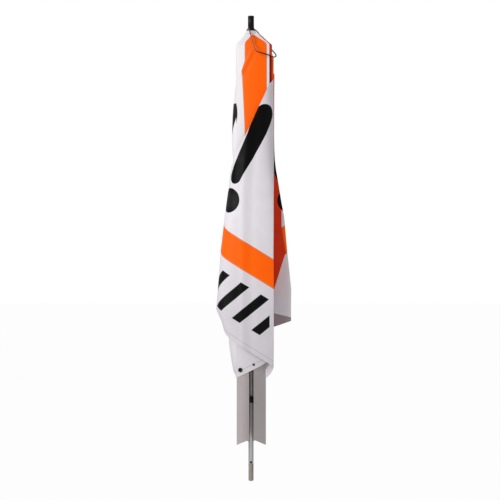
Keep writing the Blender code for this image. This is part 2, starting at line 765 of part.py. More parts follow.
def make_loop(finish, target):
    curve = bpy.data.curves.new("carry_loop", "CURVE")
    curve.dimensions = "3D"
    curve.bevel_depth = loop_cord_radius
    curve.bevel_resolution = 2
    curve.use_fill_caps = True
    points = smooth_points(loop_route(), 3)
    line = curve.splines.new("POLY")
    line.points.add(len(points) - 1)
    for target_point, point in zip(line.points, points):
        target_point.co = (*point, 1.0)
    made = bpy.data.objects.new("carry_loop", curve)
    made.data.materials.append(finish)
    target.objects.link(made)


def make_loop_band(finish, target):
    """Band round the knob's foot that holds the two ends of the loop."""
    turned("loop_band", ring_profile(knob_radius + band_wall + 0.0003, knob_radius + 0.0003,
                                     collar_height + 0.0003 + band_height, collar_height + 0.0003), finish, target, 24)


def main():
    clear_scene()
    sign = collection("folding_warning_sign")
    cutters = collection("cutters")
    black_plastic = material("black moulded plastic", black, 0.42)
    dark_plastic = material("dark nylon", dark_grey, 0.5)
    profile = material("satin anodised aluminium", aluminium, 0.38, 1.0)
    bright = material("zinc plated steel", steel, 0.35, 1.0)
    plug = material("beige plastic", beige, 0.55)
    cord = material("black cord", black, 0.7)
    orange_cloth = material("coated cloth, orange", orange, 0.45)
    white_cloth = material("coated cloth, white", white, 0.45)
    make_knob(black_plastic, sign)
    make_collar(black_plastic, sign)
    make_hub(black_plastic, sign, cutters)
    make_cap(white_cloth, sign)
    make_hinge_pins(bright, sign)
    make_rod(profile, sign, cutters)
    make_tip(plug, sign, cutters)
    make_tip_rivet(bright, sign)
    make_ring(dark_plastic, sign, cutters)
    for leg, azimuth in leg_azimuths.items():
        make_leg(leg, azimuth, profile, sign)
        make_leg_top(leg, azimuth, black_plastic, sign, cutters)
        make_bracket(leg, azimuth, dark_plastic, sign, cutters)
        make_strut(leg, azimuth, bright, sign, cutters)
        make_strut_rivet(leg, azimuth, bright, sign)
    for half in halves:
        for number in range(3):
            make_strip(half, number, orange_cloth if number == 0 else white_cloth, sign)
    for half, facts in halves.items():
        if facts["wraps"]:
            make_lead(half, orange_cloth, sign)
    make_studs(black_plastic, sign)
    make_loop(cord, sign)
    make_loop_band(black_plastic, sign)


if __name__ == "__main__":
    main()
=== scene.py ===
import math

import bmesh
import bpy
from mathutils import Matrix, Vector


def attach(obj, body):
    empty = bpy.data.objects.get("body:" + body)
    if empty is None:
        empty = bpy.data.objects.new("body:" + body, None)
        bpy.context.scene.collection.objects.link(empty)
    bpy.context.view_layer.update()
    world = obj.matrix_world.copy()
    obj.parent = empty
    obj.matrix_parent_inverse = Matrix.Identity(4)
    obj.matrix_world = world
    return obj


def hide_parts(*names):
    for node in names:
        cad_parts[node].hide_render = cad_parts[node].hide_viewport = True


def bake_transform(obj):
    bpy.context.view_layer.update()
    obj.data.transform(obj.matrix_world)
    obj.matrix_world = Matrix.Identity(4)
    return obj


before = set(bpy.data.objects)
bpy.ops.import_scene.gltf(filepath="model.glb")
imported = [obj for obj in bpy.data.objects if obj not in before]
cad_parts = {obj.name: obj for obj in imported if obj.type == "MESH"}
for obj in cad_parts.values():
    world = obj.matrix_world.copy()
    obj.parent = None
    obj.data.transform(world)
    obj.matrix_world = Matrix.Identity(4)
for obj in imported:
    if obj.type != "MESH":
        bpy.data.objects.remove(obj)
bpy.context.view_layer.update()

# Folded cloth warning sign. Metres, +Z up, the crown's top face at the origin, the camera on the -Y side.
bpy.context.scene.view_settings.view_transform = "Standard"


def mm(value):
    return value / 1000.0


def deselectAll():
    if bpy.context.object and bpy.context.object.mode != "OBJECT":
        bpy.ops.object.mode_set(mode="OBJECT")
    bpy.ops.object.select_all(action="DESELECT")


def makeActive(piece):
    deselectAll()
    piece.select_set(True)
    bpy.context.view_layer.objects.active = piece


def newPiece(name, mesh):
    # a linked object, alone selected and active
    piece = bpy.data.objects.new(name, mesh)
    bpy.context.scene.collection.objects.link(piece)
    makeActive(piece)
    return piece


# Camera and light
cameraFacts = {"distance": 4.0, "frameWidth": 0.9650, "sensor": 36.0, "x": -0.00193, "z": -0.4231}
lightFacts = {
    "world": 0.46, "worldColour": "#f4f5f7", "aim": (0.0, 0.0, -0.42),
    "floor": "#f2f2f2", "floorDepth": -1.30, "floorSize": 60.0, "floorRoughness": 0.9, "floorGlow": 0.97,
    "lamps": (("key", (-2.3, -2.0, 0.9), 1.3, 63.0),
              ("fill", (2.2, -1.6, -0.3), 1.8, 3.0),
              ("back", (0.6, 2.2, 0.9), 1.6, 14.0)),
}
white = (1.0, 1.0, 1.0, 1.0)


def makeCamera():
    camera = bpy.data.cameras.new("camera")
    camera.sensor_width = cameraFacts["sensor"]
    camera.lens = cameraFacts["sensor"] * cameraFacts["distance"] / cameraFacts["frameWidth"]
    made = bpy.data.objects.new("camera", camera)
    made.location = (cameraFacts["x"], -cameraFacts["distance"], cameraFacts["z"])
    made.rotation_euler = (math.radians(90), 0, 0)
    bpy.context.scene.collection.objects.link(made)
    bpy.context.scene.camera = made


def linear(hexColour):
    # sRGB hex to the linear values that a shader reads
    parts = [int(hexColour[i:i + 2], 16) / 255 for i in (1, 3, 5)]
    return tuple(v / 12.92 if v <= 0.04045 else ((v + 0.055) / 1.055) ** 2.4 for v in parts) + (1.0,)


def fill(tree, node, settings):
    # sockets are linked, the node's own settings are set, and numbers go into its sockets
    for key, value in settings.items():
        if isinstance(value, bpy.types.NodeSocket):
            tree.links.new(value, node.inputs[key])
        elif isinstance(key, str) and hasattr(node, key):
            setattr(node, key, value)
        else:
            node.inputs[key].default_value = value


def nodeIn(tree, kind, settings=None, output=0):
    # adds a node and gives one of its outputs
    made = tree.nodes.new(kind)
    fill(tree, made, settings or {})
    return made.outputs[output] if made.outputs else made


def newMaterial(name):
    made = bpy.data.materials.new(name)
    made.use_nodes = True
    tree = made.node_tree
    return made, tree, tree.nodes["Principled BSDF"]


def spread(tree, value, low, high, first=0.0, last=1.0):
    # maps low to high on first to last, and holds the ends
    limits = {"From Min": low, "From Max": high, "To Min": first, "To Max": last}
    return nodeIn(tree, "ShaderNodeMapRange", {"Value": value, **limits})


def colourMix(tree, share, first, second):
    # each colour is a hex colour or a socket
    first, second = (linear(colour) if isinstance(colour, str) else colour for colour in (first, second))
    return nodeIn(tree, "ShaderNodeMix", {"data_type": "RGBA", 0: share, 6: first, 7: second}, 2)


def noise(tree, spot, scale, detail=2.0, distortion=0.0):
    return nodeIn(tree, "ShaderNodeTexNoise",
                  {"Vector": spot, "Scale": scale, "Detail": detail, "Distortion": distortion})


def relief(tree, height, strength, distance):
    return nodeIn(tree, "ShaderNodeBump", {"Height": height, "Strength": strength, "Distance": distance})


def makeStage():
    world = bpy.data.worlds.new("pale room")
    bpy.context.scene.world = world
    world.use_nodes = True
    tree = world.node_tree
    tree.nodes.clear()
    seen = nodeIn(tree, "ShaderNodeLightPath", None, "Is Camera Ray")
    through = nodeIn(tree, "ShaderNodeLightPath", None, "Is Transmission Ray")
    share = nodeIn(tree, "ShaderNodeMath", {"operation": "MAXIMUM", 0: seen, 1: through})
    lit = nodeIn(tree, "ShaderNodeBackground",
                 {"Color": linear(lightFacts["worldColour"]), "Strength": lightFacts["world"]})
    plain = nodeIn(tree, "ShaderNodeBackground", {"Color": white, "Strength": 1.0})
    mixed = nodeIn(tree, "ShaderNodeMixShader", {0: share, 1: lit, 2: plain})
    nodeIn(tree, "ShaderNodeOutputWorld", {"Surface": mixed})
    # plain pale floor, well under the part, which hangs clear of it
    deselectAll()
    bpy.ops.mesh.primitive_plane_add(size=lightFacts["floorSize"], location=(0, 0, lightFacts["floorDepth"]))
    floor = bpy.context.object
    floor.name = "floor"
    made, tree, shader = newMaterial("matt white floor paint")
    fill(tree, shader, {"Base Color": linear(lightFacts["floor"]), "Roughness": lightFacts["floorRoughness"]})
    seen = nodeIn(tree, "ShaderNodeLightPath", None, "Is Camera Ray")
    share = nodeIn(tree, "ShaderNodeMath", {"operation": "MULTIPLY", 0: seen, 1: lightFacts["floorGlow"]})
    glow = nodeIn(tree, "ShaderNodeEmission", {"Color": white, "Strength": 1.0})
    mixed = nodeIn(tree, "ShaderNodeMixShader", {0: share, 1: shader.outputs[0], 2: glow})
    fill(tree, tree.nodes["Material Output"], {"Surface": mixed})
    floor.data.materials.append(made)
    for name, place, size, power in lightFacts["lamps"]:
        lamp = bpy.data.lights.new(name, "AREA")
        lamp.size = size
        lamp.energy = power
        made = bpy.data.objects.new(name, lamp)
        made.location = place
        made.rotation_euler = (Vector(lightFacts["aim"]) - Vector(place)).to_track_quat("-Z", "Y").to_euler()
        bpy.context.scene.collection.objects.link(made)
    print("stage made")


makeCamera()
makeStage()


# Materials
def mouldedPlastic(name, colour, worn, roughness):
    # injection moulded, satin, with a faint mould grain of 0.4 mm and handled smoother in places
    made, tree, shader = newMaterial(name)
    spot = nodeIn(tree, "ShaderNodeTexCoord", None, "Object")
    grain = noise(tree, spot, 2500.0, 3.0)
    wear = noise(tree, spot, 90.0)
    fill(tree, shader, {
        "Base Color": colourMix(tree, wear, colour, worn), "IOR": 1.5, "Specular IOR Level": 0.18,
        "Roughness": spread(tree, wear, 0.3, 0.7, roughness - 0.07, roughness + 0.08),
        "Normal": relief(tree, grain, 0.12, mm(0.06))})
    return made


def drawnMetal(name, colour, worn, roughness, lineScale):
    # anodised or plated bar stock: draw lines run along the length, so the pattern is stretched in Z
    made, tree, shader = newMaterial(name)
    spot = nodeIn(tree, "ShaderNodeTexCoord", None, "Object")
    stretched = nodeIn(tree, "ShaderNodeMapping", {"Vector": spot, "Scale": (lineScale, lineScale, 6.0)})
    lines = noise(tree, stretched, 1.0)
    cloudy = noise(tree, spot, 14.0, 3.0)
    fill(tree, shader, {
        "Base Color": colourMix(tree, cloudy, colour, worn), "Metallic": 0.80,
        "Roughness": spread(tree, lines, 0.25, 0.75, roughness - 0.06, roughness + 0.09),
        "Normal": relief(tree, lines, 0.04, mm(0.02))})
    return made


# each paired with a slot name
black = mouldedPlastic("moulded black ABS", "#060607", "#111112", 0.36), "black_plastic"
nylon = mouldedPlastic("moulded grey nylon", "#2b2b2e", "#3b3b3d", 0.48), "dark_nylon"
beige = mouldedPlastic("moulded beige polyethylene", "#8f867e", "#a39a90", 0.5), "beige_plug"
legMetal = drawnMetal("satin anodised aluminium", "#b6acab", "#c8bfbe", 0.38, 900.0), "anodised_aluminium"
rodMetal = drawnMetal("bright anodised tube", "#b9b6b6", "#cac8c8", 0.26, 900.0), "anodised_aluminium"
steel = drawnMetal("zinc plated steel", "#a3a5a8", "#c0c1c0", 0.3, 700.0), "plated_steel"

# Cloth: laminated polyester sign fabric, printed. Its flat lay gives two lengths in metres on the UV map: the
# distance from the face's middle line towards the seam, and the distance down from the face's apex.
openAngle = math.radians(31.0)
beta = math.asin(math.sin(math.radians(60.0)) * math.sin(openAngle))
inks = {
    # the flaps' white is the plain white painted darker: painted shade
    "plain": ("#f7f2f4", "#ede7ea"), "flapShadedWhite": ("#f0ebef", "#e5dfe4"), "cap": ("#fbf9fa", "#f1eef0"),
    "hemGrey": ("#beb8bf", "#b6b0b7"), "orange": ("#ff6a00", "#ff5a00"), "orangeEdge": ("#d98a66",),
    "crownShade": ("#d0260a", "#b41606"), "recessShade": ("#e2421c", "#cf3312"), "black": ("#020202", "#060506"),
    "dotHighlight": ("#1d1b1e",), "stripe": ("#060505", "#0d0c0c"), "stitch": ("#b3abae",),
    "underside": ("#ad999c", "#96858a"), "paleEdge": ("#f1e6e4",), "fluorescentGlow": "#ff6200",
}
printFacts = {
    "soft": 0.0004, "line": 0.0016,
    # the border beside the seam, first and last distance from it, and the band below, first and last row
    "side": (0.018, 0.058), "sideLeft": (0.034, 0.064), "sidePleat": (0.012, 0.046), "band": (0.417, 0.465),
    "borderTop": 0.0085, "borderArch": 0.012, "glow": 0.13,
    "rise": 0.10, "riseFrom": 0.047, "hem": 0.599, "stitches": (0.0098, 0.0086), "stitchPitch": 0.0032,
    # the lower panel's grey towards the hem: first and last depth, and its share, also on the right flap
    "hemGreyFrom": 0.40, "hemGreyTo": 0.60, "hemGrey": 0.50, "hemGreyFlap": 0.20,
    # at the bar's head and foot: depth, half width, middle, and how far inside the taper starts and ends
    "bar": (0.1585, 0.3220), "barHalf": (0.0178, 0.0130), "barMiddle": (0.0078, 0.0150),
    "barTaper": (0.045, 0.01), "dot": (0.0235, 0.3545), "dotRadius": 0.0238, "dotHighlight": 0.7,
    "stripes": (0.489, 0.560), "stripePitch": 0.044, "stripeSlant": 0.42, "stripeShare": (0.08, 0.50),
    # the painted recess shade: width at first and at its widest, the depths between which it grows, and how
    # fast it narrows below
    "recessShade": (0.0585, 0.0670, 0.364, 0.4125, 0.43), "recessShadeSide": 0.039, "recessShadeEnd": 0.470,
    "crownShade": 0.17, "crownShadeFlap": 0.05, "crownShadeSide": 0.036,
    # the depths where the jog starts, is widest and has come back, and its width
    "jog": (0.060, 0.079, 0.190, 0.0056),
    # the turned-up corner's edge: its depth at a distance from the seam, and its fall
    "turnUp": (0.5435, 0.0400, 0.25), "turnUpSide": 0.0405, "paleEdge": 0.0016,
    # where it starts, where its bulge ends, where its taper starts and ends, and the taper's reach
    "sliver": (0.1410, 0.1800, 0.1680, 0.2065, 0.0280),
    # widths of soft edges: of the crown's shade, the dot's painted highlight, the stripes and the stitches
    "shadeBlur": (0.02, 0.004), "dotHighlightBlur": 0.005, "stripeBlur": 0.012, "stitchBlur": 0.1,
    "stitchGap": 0.3, "weavePitch": 0.0011,
}


def signCloth(name, side="side", base="plain", printed=True, stripesFrom=0.055, mark=None, upBy=0.0,
              shaded=False, jogged=False, sliver=0.0):
    made, tree, shader = newMaterial(name)
    soft = printFacts["soft"]
    flatLay = nodeIn(tree, "ShaderNodeUVMap", {"uv_map": "flat"})
    fromMiddle, down = (nodeIn(tree, "ShaderNodeSeparateXYZ", {"Vector": flatLay}, place) for place in (0, 1))
    spot = nodeIn(tree, "ShaderNodeTexCoord", None, "Object")
    wear = noise(tree, spot, 38.0, 5.0)
    colour = colourMix(tree, wear, *inks[base])
    bare = 1.0

    def calc(kind, *values):
        return nodeIn(tree, "ShaderNodeMath", {"operation": kind, **dict(enumerate(values))})

    def plus(a, b):
        return calc("ADD", a, b)

    def less(a, b):
        return calc("SUBTRACT", a, b)

    def most(a, b):
        return calc("MAXIMUM", a, b)

    def times(first, *others):
        for value in others:
            first = calc("MULTIPLY", first, value)
        return first

    def far(a, b):
        return calc("SQRT", plus(times(a, a), times(b, b)))

    def step(value, edge, rising=True, blur=soft):
        # 0 to 1 across an edge, one thread wide, or 1 to 0
        low, high = (0.0, 1.0) if rising else (1.0, 0.0)
        return spread(tree, value, edge - blur, edge + blur, low, high)

    def within(value, low, high):
        return times(step(value, low), step(value, high, False))

    def paint(mask, ink):
        nonlocal colour
        shades = inks[ink]
        colour = colourMix(tree, mask, colour, colourMix(tree, wear, shades[0], shades[-1]))

    def cover(mask, ink):
        # this paint also hides the border's painted glow
        nonlocal bare
        paint(mask, ink)
        bare = times(less(1.0, mask), bare)

    # two more measures of the flat lay: distance from the seam, and depth along it
    fromSeam = less(times(down, math.sin(beta)), times(fromMiddle, math.cos(beta)))
    deep = plus(times(down, math.cos(beta)), times(fromMiddle, math.sin(beta)))
    # the lower panel turns greyer towards the hem, less so on the right flap
    hemGreyShare = printFacts["hemGreyFlap" if shaded else "hemGrey"]
    paint(spread(tree, down, printFacts["hemGreyFrom"], printFacts["hemGreyTo"], 0.0, hemGreyShare), "hemGrey")
    # the printed rows rise a little from the seam to the face's middle, as the hem does
    climb = most(less(fromSeam, printFacts["riseFrom"]), 0.0)
    row = plus(plus(down, times(climb, printFacts["rise"])), upBy)
    if printed:
        low, high = printFacts["band"]
        line = printFacts["line"]
        side0, side1 = printFacts[side]
        off = calc("DIVIDE", less(fromSeam, (side0 + side1) / 2), (side1 - side0) / 2)
        top = plus(times(off, off, printFacts["borderArch"]), printFacts["borderTop"])
        below = step(less(deep, top), 0.0)
        outer = fromSeam
        if jogged:
            # a fold near the crown draws this panel's outer edge aside, and it comes back slowly further down
            jog0, jog1, jog2, aside = printFacts["jog"]
            drawn = spread(tree, deep, jog0, jog1)
            back = spread(tree, deep, jog1, jog2, aside, 0.0)
            outer = plus(fromSeam, times(drawn, back))

        def sideBand(wider):
            return times(step(outer, side0 - wider), step(fromSeam, side1 + wider, False))

        sideMask = times(sideBand(0.0), step(row, high, False), below)
        bandMask = times(within(row, low, high), step(fromSeam, side0))
        border = most(sideMask, bandMask)
        edgeSide = times(sideBand(line), step(row, high + line, False), below)
        edgeBand = times(within(row, low - line, high + line), step(fromSeam, side0 - line))
        paint(most(edgeSide, edgeBand), "orangeEdge")
        paint(border, "orange")
        if side == "sidePleat":
            # beside the crown this border lies in the shade between two legs
            reach = printFacts["crownShadeFlap" if shaded else "crownShade"]
            downBlur, sideBlur = printFacts["shadeBlur"]
            byCrown = times(border, step(down, reach, False, downBlur))
            cover(times(byCrown, step(fromSeam, printFacts["crownShadeSide"], False, sideBlur)), "crownShade")
        if shaded:
            # painted shade: this border lies in the recess beside the outer flap and is painted darker there,
            # wider down to one depth, then narrower
            first, widest, low0, low1, slope = printFacts["recessShade"]
            grown = spread(tree, down, low0, low1, first, widest)
            inner = less(grown, times(most(less(down, low1), 0.0), slope))
            inRecessShade = times(step(less(inner, fromSeam), 0.0), step(fromSeam, printFacts["recessShadeSide"]))
            cover(times(inRecessShade, step(down, printFacts["recessShadeEnd"], False)), "recessShade")
        if mark:
            # bar with rounded ends, wider at its head than at its foot, and a dot below it
            top, foot = printFacts["bar"]
            wide, narrow = printFacts["barHalf"]
            markAcross, markDown = less(fromMiddle, mark[0]), plus(down, mark[1])
            ends = top + printFacts["barTaper"][0], foot - printFacts["barTaper"][1]
            share = spread(tree, markDown, *ends, wide, narrow)
            middle = spread(tree, markDown, *ends, *printFacts["barMiddle"])
            aside = calc("ABSOLUTE", less(markAcross, middle))
            above = most(less(top + wide, markDown), 0.0)
            under = most(less(markDown, foot - narrow), 0.0)
            cover(step(less(far(most(above, under), aside), share), 0.0, False), "black")
            across, dotDeep = printFacts["dot"]
            ring = far(less(markDown, dotDeep), less(markAcross, across))
            cover(step(ring, printFacts["dotRadius"], False), "black")
            # painted highlight: a paler middle on the black dot
            highlightRadius = printFacts["dotRadius"] * printFacts["dotHighlight"]
            paint(step(ring, highlightRadius, False, printFacts["dotHighlightBlur"]), "dotHighlight")
        if sliver:
            # a black mark that comes round the corner between two faces: a thin bulge on the front one, and
            # on the side one its body, which tapers away from the seam
            start, bulgeEnd, taper, end, reach = printFacts["sliver"]
            if jogged:
                tall = calc("DIVIDE", less(deep, start), bulgeEnd - start)
                bulge = times(tall, less(1.0, tall), 4.0 * sliver)
                cover(step(less(bulge, fromSeam), 0.0), "black")
            else:
                begins = spread(tree, deep, taper, end, 0.0, reach)
                body = times(step(less(fromSeam, begins), -soft / 2), step(fromSeam, sliver, False))
                cover(times(body, within(deep, start, end)), "black")
        # the border's ink is fluorescent: to give back a little more light than falls on it, it has a painted
        # glow, a fixed emission wherever no other paint covers it
        fill(tree, shader, {"Emission Color": linear(inks["fluorescentGlow"]),
                            "Emission Strength": times(border, printFacts["glow"], bare)})
        # plain slanted stripes on the lower panel
        run = plus(fromMiddle, times(row, printFacts["stripeSlant"]))
        phase = calc("FRACT", times(plus(run, 1.0), 1.0 / printFacts["stripePitch"]))
        begin, end = printFacts["stripeShare"]
        blur = printFacts["stripeBlur"]
        bars = times(step(phase, begin, True, blur), step(phase, end, False, blur))
        paint(times(bars, within(row, *printFacts["stripes"]), step(fromSeam, stripesFrom)), "stripe")
    # sewn hem: a stitched line 9 mm above the edge
    first, last = (printFacts["hem"] - width for width in printFacts["stitches"])
    along = calc("FRACT", times(plus(fromMiddle, 1.0), 1.0 / printFacts["stitchPitch"]))
    thread = step(along, printFacts["stitchGap"], True, printFacts["stitchBlur"])
    stitch = times(within(row, first, last), thread)
    paint(stitch, "stitch")
    if shaded:
        # the flap's lower corner is turned up and shows its darker uncoated side, below a pale edge
        level, levelAt, fall = printFacts["turnUp"]
        under = less(deep, plus(level, times(less(fromSeam, levelAt), fall)))
        here = step(fromSeam, printFacts["turnUpSide"])
        paint(times(step(under, 0.0), here), "underside")
        paint(times(within(under, -printFacts["paleEdge"], 0.0), here), "paleEdge")
    # plain weave under the coating, threads 1.1 mm apart: drawn coarser than real, to show
    weave = [calc("SINE", times(value, math.tau / printFacts["weavePitch"])) for value in (fromMiddle, down)]
    height = plus(times(*weave, 0.03), plus(noise(tree, spot, 16.0, 4.0, 0.6), times(stitch, -0.1)))
    fill(tree, shader, {
        "Base Color": colour, "IOR": 1.5, "Specular IOR Level": 0.12,
        "Roughness": spread(tree, wear, 0.3, 0.7, 0.36, 0.52), "Normal": relief(tree, height, 0.35, mm(1.2))})
    return made


baseCloth = signCloth("printed sign cloth, base layer")
backCloth = signCloth("printed sign cloth, back", mark=(0.0, 0.0))
frontCloth = signCloth("printed sign cloth, front panel", jogged=True, sliver=0.0022)
sideCloth = signCloth("printed sign cloth, left side", "sideLeft", sliver=0.0335)
# the pleat and the right flap take the darker white, a painted shade
pleatCloth = signCloth("printed sign cloth, pleat", "sidePleat", "flapShadedWhite", mark=(0.0, 0.0))
flapCloth = signCloth("printed sign cloth, right flap", "sidePleat", "flapShadedWhite", mark=(0.0565, 0.0285),
                      upBy=0.0485, shaded=True, stripesFrom=0.150)
print("materials made")


# Cloth shape: the same folded plan as the CAD strips, with the cloth between them. A shape is a list of
# depths below the crown, each with its value. "fromSeam" has each strip's ends as distances from the seam.
clothFacts = {
    "thickness": 0.00035, "top": 0.0058, "seamRadius": 0.0331, "overlap": 0.0090, "overlapFrom": 0.015,
    "tooThin": 0.004, "splitShare": 0.9, "tolerance": 0.00001,
    # the wrapped outline: the neck's depth, the roundness, the reach to front and back, and how these grow
    "neck": 0.056, "power": 3.0, "front": 0.0340, "back": 0.0560, "growth": 0.34,
    # where the two wraps start: at the right edge's x on the front, or at a tuck and angle on the back
    "edgeX": 0.0434, "steepest": 88.0, "tuck": (0.0405, -0.0100), "tuckAngle": 84.0,
    "longestTurn": 300.0, "turnSteps": 240, "inset": 0.0002, "layer": 0.0020, "layersFrom": 0.3,
    "leadDepth": 0.1000, "leadBlend": 0.8, "leadAside": 0.0006, "leadBow": 0.0036, "leadBowFrom": 0.0200,
    "leadBowShare": 0.2,
    "sideBow": 0.0140, "sideBowGrows": (0.440, 0.580), "sideBowFades": (0.600, 0.670), "sideBowPower": 0.6,
    "sideSwell": ((0.100, 0.0), (0.122, 0.0022), (0.141, 0.0050), (0.170, 0.0068), (0.210, 0.0078),
                  (0.230, 0.0074), (0.260, 0.0040), (0.300, 0.0)),
    "flapLift": 0.085, "flapCorner": ((0.0, 0.0074), (0.040, 0.0177), (0.050, 0.0150), (0.090, 0.0)),
    # the depths at which the bends between strips are measured, and how far a wrap's bends reach, with the
    # last one's own depth
    "bendDepth": 0.42, "foldDepth": 0.50, "foldReach": (0.005, 0.012), "lastFoldReach": (0.010, 0.010, 0.52),
}
leftEdge = ((0.003, -0.0095), (0.0077, -0.0120), (0.028, -0.0303), (0.143, -0.0305), (0.225, -0.0360),
            (0.299, -0.0434), (0.372, -0.0530), (0.419, -0.0585), (0.471, -0.0627), (0.537, -0.0680),
            (0.560, -0.0580), (0.594, -0.0485), (0.660, -0.0450))
rightEdge = ((0.003, 0.0130), (0.0116, 0.0240), (0.021, 0.0328), (0.033, 0.0357), (0.056, 0.0455),
             (0.200, 0.0443), (0.225, 0.0447), (0.249, 0.0456), (0.270, 0.0480), (0.299, 0.0530),
             (0.357, 0.0633), (0.426, 0.0695), (0.500, 0.0770), (0.660, 0.0755))
legAzimuths = {"front_left": -58.0, "front_right": 62.0, "rear": 182.0}
halves = {
    "front_left_half": {
        "leg": "front_left", "wraps": 0, "bow": 0.0034, "finish": frontCloth, "shown": True, "ripple": 0.35,
        "rest": (((-0.0281, -0.0178), (0.0350, -0.0254)), ((0.0350, -0.02605), (-0.0290, -0.0288)),
                 ((-0.0290, -0.02945), (0.0370, -0.0302))),
        "fromSeam": ((0.0, 0.064), (0.092, 0.156), (0.186, 0.252))},
    "front_right_half": {
        "leg": "front_right", "wraps": -1, "finish": pleatCloth, "shown": True, "ripple": 1.0,
        "levels": (0.0, 0.0, 0.6, 1.4), "fromSeam": ((0.047, 0.121), (0.121, 0.195), (0.195, 0.267))},
    "right_left_half": {
        "leg": "front_right", "wraps": 1, "finish": flapCloth, "shown": True, "ripple": 1.0,
        "levels": (0.0, -0.5, -0.7, -0.9), "fromSeam": ((0.040, 0.112), (0.112, 0.184), (0.184, 0.262))},
    "right_right_half": {
        "leg": "rear", "wraps": 0, "bow": 0.0, "finish": baseCloth, "shown": False, "ripple": 0.0,
        "rest": (((-0.0007, 0.0331), (0.0380, 0.0352)), ((0.0380, 0.03585), (-0.0250, 0.0365)),
                 ((-0.0250, 0.03715), (0.0400, 0.0378))),
        "fromSeam": ((0.0, 0.038), (0.068, 0.131), (0.166, 0.231))},
    "left_right_half": {
        "leg": "front_left", "wraps": 0, "bow": 0.0004, "finish": sideCloth, "shown": False, "ripple": 0.0,
        "rest": (((-0.0281, -0.0170), (-0.0287, 0.0392)), ((-0.0287, 0.03975), (0.0380, 0.03975)),
                 ((0.0380, 0.0404), (-0.0290, 0.0404))),
        "fromSeam": ((0.0, 0.056), (0.084, 0.150), (0.180, 0.247))},
    "left_left_half": {
        "leg": "rear", "wraps": 0, "bow": 0.0, "finish": backCloth, "shown": False, "ripple": 0.0,
        "rest": (((-0.0017, 0.0331), (-0.0255, 0.0330)), ((-0.0275, 0.03845), (0.0380, 0.03845)),
                 ((0.0380, 0.0391), (-0.0275, 0.0391))),
        "fromSeam": ((0.0, 0.024), (0.064, 0.131), (0.170, 0.237))},
}


def share01(value):
    return min(1.0, max(0.0, value))


def between(points, value):
    if value <= points[0][0]:
        return points[0][1]
    for (a, low), (b, high) in zip(points, points[1:]):
        if value <= b:
            return low + (high - low) * (value - a) / (b - a)
    return points[-1][1]


def section(depth):
    neck, growth = clothFacts["neck"], clothFacts["growth"]
    left, right = between(leftEdge, depth), between(rightEdge, depth)
    half = (right - left) / 2
    widest = (between(rightEdge, neck) - between(leftEdge, neck)) / 2
    front = min(half, clothFacts["front"] + (half - widest) * growth)
    back = min(half * clothFacts["back"] / widest, clothFacts["back"] + (half - widest) * growth)
    return (left + right) / 2, half, front, back


def outlinePoint(sizes, angle, inset):
    middle, half, front, back = sizes
    sine, cosine = math.sin(angle), math.cos(angle)
    flat = 2.0 / clothFacts["power"]
    x = math.copysign(abs(sine) ** flat, sine) * (half - inset)
    y = -math.copysign(abs(cosine) ** flat, cosine) * ((front if cosine > 0 else back) - inset)
    return Vector((middle + x, y))


def neckShare(depth, edge=leftEdge):
    return min(1.0, between(edge, depth) / between(edge, clothFacts["neck"]))


def outlineRun(depth, turn, inset, length):
    # point at an arc length from the right-hand edge, left over the front (-1) or round the back (+1)
    sizes = section(depth)
    middle, half = sizes[:2]
    if turn < 0:
        share = min(1.0, (clothFacts["edgeX"] - middle) / (half - inset))
        angle = min(math.radians(clothFacts["steepest"]), math.asin(share ** (clothFacts["power"] / 2.0)))
        last = outlinePoint(sizes, angle, inset)
    else:
        angle = math.radians(clothFacts["tuckAngle"])
        last = Vector(clothFacts["tuck"]) * neckShare(depth)
    step = math.radians(clothFacts["longestTurn"]) / clothFacts["turnSteps"]
    while length > 0.0:
        angle += turn * step
        new = outlinePoint(sizes, angle, inset)
        run = (new - last).length
        if run >= length:
            return last + (new - last) * (length / run)
        length -= run
        last = new
    return last


def wrapPoint(half, distance, depth):
    facts = halves[half]
    strips, levels = facts["fromSeam"], facts["levels"]
    number = min(2, sum(distance > last for _, last in strips))
    first, last = strips[number]
    share = (distance - first) / (last - first)
    level = levels[number] + (levels[number + 1] - levels[number]) * share
    inset = clothFacts["inset"] + level * clothFacts["layer"] * min(1.0, depth / clothFacts["layersFrom"])
    return outlineRun(depth, facts["wraps"], inset, distance - strips[0][0])


def across(along):
    return Vector((-along.y, along.x)).normalized()


def arch(share):
    # 0 at both ends and 1 in the middle
    return 4.0 * share * (1.0 - share)


def leadPoint(half, distance, depth):
    facts = halves[half]
    turn = facts["wraps"]
    first = facts["fromSeam"][0][0]
    shoulder = clothFacts["leadDepth"]
    end = wrapPoint(half, first, max(depth, shoulder)) * min(neckShare(depth), neckShare(depth, rightEdge))
    blendFrom = shoulder * clothFacts["leadBlend"]
    if depth > blendFrom:
        # below the shoulder the lead runs on into the wrap without a step
        end = end.lerp(wrapPoint(half, first, depth), min(1.0, (depth - blendFrom) / (shoulder - blendFrom)))
    angle = math.radians(legAzimuths[facts["leg"]])
    seam = Vector((math.sin(angle), -math.cos(angle))) * clothFacts["seamRadius"]
    start = (seam + Vector((0.0, clothFacts["leadAside"] * turn))) * neckShare(depth)
    bow = (-end.y - clothFacts["leadBowFrom"]) * clothFacts["leadBowShare"]
    bow = max(0.0, min(clothFacts["leadBow"], bow))
    share = distance / first
    return start + (end - start) * share - across(end - start) * turn * bow * arch(share)


def stripBow(half, number, depth):
    # how far a strip swells out in its middle
    if number:
        return 0.0
    bow = halves[half]["bow"]
    if half == "left_right_half":
        low, high = clothFacts["sideBowGrows"]
        fade, end = clothFacts["sideBowFades"]
        fading = share01((end - depth) / (end - fade)) ** clothFacts["sideBowPower"]
        # low down it stands out from the legs, and above the outer flap it swells too
        bow += clothFacts["sideBow"] * share01((depth - low) / (high - low)) * fading
        bow += between(clothFacts["sideSwell"], depth)
    return bow


